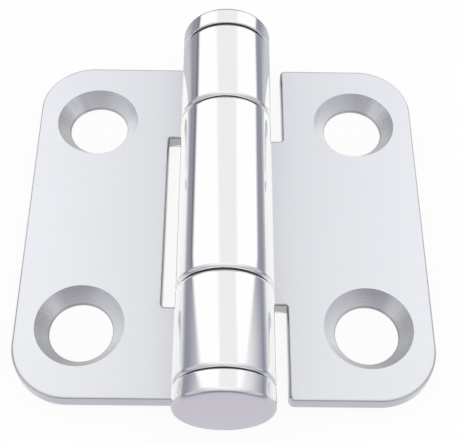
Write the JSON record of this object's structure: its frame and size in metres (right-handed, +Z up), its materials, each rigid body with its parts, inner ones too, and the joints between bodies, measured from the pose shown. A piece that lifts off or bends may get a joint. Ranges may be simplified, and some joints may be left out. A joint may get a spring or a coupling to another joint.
{
  "type": "torque hinge",
  "caption": "Stainless torque hinge that holds its angle: rounded leaves with countersunk screw holes, curled knuckles, end caps and an inner stack of friction discs on a flatted shaft",
  "frame": {"origin": "on the mounting face, under the pin axis, at the middle of the hinge", "axes": "+X across the leaves towards the right leaf, +Y along the pin towards the rear, +Z up out of the mounting face"},
  "size_m": [0.06, 0.066, 0.014],
  "materials": {
    "stainless": "satin bead-blasted stainless leaves, polished on the knuckles",
    "cap_steel": "polished stainless rim, satin end face",
    "bush_plastic": "dark moulded bearing plastic",
    "shaft_steel": "ground steel, lightly greased",
    "disc_bronze": "rolled phosphor bronze sheet",
    "spring_steel": "hardened spring steel, dark"
  },
  "bodies": {
    "fixed_leaf": {"left_leaf": "stainless", "front_end_cap": "cap_steel", "rear_end_cap": "cap_steel", "front_cap_washer": "bush_plastic", "rear_cap_washer": "bush_plastic", "hinge_shaft": "shaft_steel", "front_key_bush": "shaft_steel", "rear_key_bush": "shaft_steel", "pressure_plate": "shaft_steel", "adjusting_nut": "shaft_steel", "rotor_disc_1": "spring_steel", "rotor_disc_2": "spring_steel", "rotor_disc_3": "spring_steel", "rotor_disc_4": "spring_steel", "rotor_disc_5": "spring_steel", "rotor_disc_6": "spring_steel", "disc_spring_1": "spring_steel", "disc_spring_2": "spring_steel", "disc_spring_3": "spring_steel", "disc_spring_4": "spring_steel"},
    "moving_leaf": {"right_leaf": "stainless", "front_flanged_bush": "bush_plastic", "rear_flanged_bush": "bush_plastic", "stator_disc_1": "disc_bronze", "stator_disc_2": "disc_bronze", "stator_disc_3": "disc_bronze", "stator_disc_4": "disc_bronze", "stator_disc_5": "disc_bronze", "stator_disc_6": "disc_bronze", "stator_disc_7": "disc_bronze"}
  },
  "joints": [
    {"name": "leaf_fold", "type": "hinge", "parent": "fixed_leaf", "child": "moving_leaf", "pos_m": [0, 0, 0.007], "axis": [0, -1, 0], "range_deg": [-90, 180]}
  ]
}
